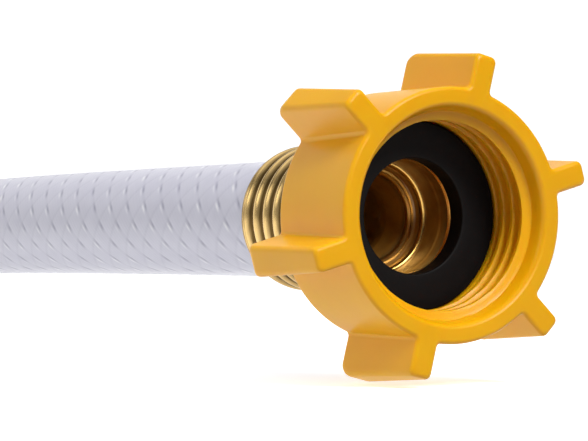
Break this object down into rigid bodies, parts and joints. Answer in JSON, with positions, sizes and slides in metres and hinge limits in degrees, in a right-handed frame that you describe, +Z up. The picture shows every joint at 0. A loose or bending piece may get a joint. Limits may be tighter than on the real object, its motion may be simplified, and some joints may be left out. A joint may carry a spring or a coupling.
{
  "type": "hose lead",
  "caption": "Short braided drinking-water hose lead with a winged swivel nut and rubber washer at one end and a male garden-hose thread at the other.",
  "frame": {"origin": "on the surface that the lead lies on, under the middle of the swivel nut and its ferrule", "axes": "+X along the swivel nut's axis and out of its mouth, +Z up; the hose runs away along -X"},
  "size_m": [0.305, 0.044, 0.0439],
  "materials": {
    "nut_plastic": "moulded, satin gloss, yellow-orange",
    "washer_rubber": "moulded, dull black",
    "brass": "bright drawn brass, crimped",
    "hose_pvc": "extruded soft PVC, slightly clear, smooth",
    "hose_yarn": "white polyester braid"
  },
  "bodies": {
    "hose_body": {"tailpiece": "brass", "ferrule": "brass", "hose_liner": "hose_pvc", "hose_braid": "hose_yarn", "hose_cover": "hose_pvc", "male_ferrule": "brass", "male_fitting": "brass"},
    "nut": {"swivel_nut": "nut_plastic"},
    "washer": {"sealing_washer": "washer_rubber"}
  },
  "joints": [
    {"name": "nut_spin", "type": "hinge", "parent": "hose_body", "child": "nut", "pos_m": [0.0112, 0, 0.02195], "axis": [1, 0, 0], "continuous": true},
    {"name": "washer_out", "type": "slide", "parent": "hose_body", "child": "washer", "axis": [1, 0, 0], "range_m": [0, 0.03]}
  ]
}
